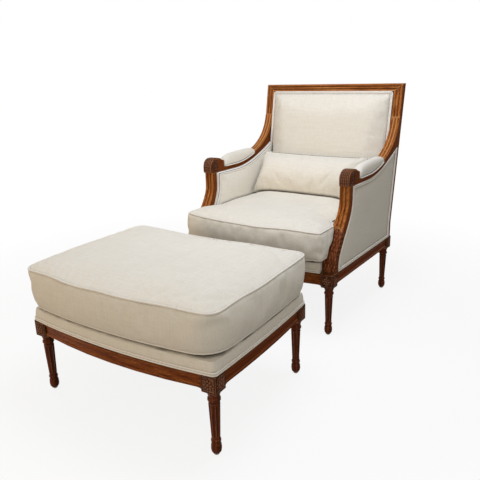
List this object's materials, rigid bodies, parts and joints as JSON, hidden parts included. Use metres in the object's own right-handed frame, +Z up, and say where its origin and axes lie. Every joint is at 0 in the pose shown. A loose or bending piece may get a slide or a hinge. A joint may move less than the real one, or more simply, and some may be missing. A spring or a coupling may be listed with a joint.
{
  "type": "bergere and footstool",
  "caption": "Square-backed upholstered armchair with a moulded frame, scrolled arms and turned fluted legs, and a matching footstool, with loose box cushions and a lumbar pillow.",
  "frame": {"origin": "the floor under the centre of the whole set's bounding box", "axes": "+Z up; +Y from the footstool towards the chair's back, so the chair faces -Y; +X to the right of someone who stands in front and looks at the chair. Left and right in node names are as seen from there."},
  "size_m": [0.7758, 1.5716, 0.94],
  "materials": {
    "wood": "polished, warm brown",
    "fabric": "cream weave with self piping",
    "glide": "nickel, satin",
    "webbing": "jute webbing",
    "lining": "black lining"
  },
  "bodies": {
    "chair": {"front_seat_rail": "wood", "rear_seat_rail": "wood", "left_seat_rail": "wood", "right_seat_rail": "wood", "front_left_leg": "wood", "front_right_leg": "wood", "rear_left_leg": "wood", "rear_right_leg": "wood", "front_left_corner_block": "wood", "front_right_corner_block": "wood", "rear_left_corner_block": "wood", "rear_right_corner_block": "wood", "left_arm_post": "wood", "right_arm_post": "wood", "left_arm": "wood", "right_arm": "wood", "left_stile": "wood", "right_stile": "wood", "top_rail": "wood", "seat_deck": "fabric", "back_pad": "fabric", "back_outer_panel": "fabric", "left_inner_side_pad": "fabric", "right_inner_side_pad": "fabric", "left_outer_side_panel": "fabric", "right_outer_side_panel": "fabric", "left_arm_pad": "fabric", "right_arm_pad": "fabric", "front_left_glide": "glide", "front_right_glide": "glide", "rear_left_glide": "glide", "rear_right_glide": "glide", "seat_webbing": "webbing", "dust_cover": "lining"},
    "seat_cushion": {"seat_cushion": "fabric"},
    "lumbar_pillow": {"lumbar_pillow": "fabric"},
    "footstool": {"stool_front_rail": "wood", "stool_rear_rail": "wood", "stool_left_rail": "wood", "stool_right_rail": "wood", "stool_front_left_leg": "wood", "stool_front_right_leg": "wood", "stool_rear_left_leg": "wood", "stool_rear_right_leg": "wood", "stool_front_left_corner_block": "wood", "stool_front_right_corner_block": "wood", "stool_rear_left_corner_block": "wood", "stool_rear_right_corner_block": "wood", "stool_front_left_glide": "glide", "stool_front_right_glide": "glide", "stool_rear_left_glide": "glide", "stool_rear_right_glide": "glide", "stool_webbing": "webbing", "stool_deck": "fabric", "stool_dust_cover": "lining"},
    "stool_cushion": {"stool_cushion": "fabric"}
  },
  "joints": [
    {"name": "seat_cushion_lift", "type": "slide", "parent": "chair", "child": "seat_cushion", "axis": [0, 0, 1], "range_m": [0, 0.3]},
    {"name": "lumbar_pillow_lift", "type": "slide", "parent": "seat_cushion", "child": "lumbar_pillow", "axis": [0, 0, 1], "range_m": [0, 0.3]},
    {"name": "footstool_move", "type": "slide", "parent": "chair", "child": "footstool", "axis": [0, -1, 0], "range_m": [-0.17, 0.4]},
    {"name": "stool_cushion_lift", "type": "slide", "parent": "footstool", "child": "stool_cushion", "axis": [0, 0, 1], "range_m": [0, 0.25]}
  ]
}
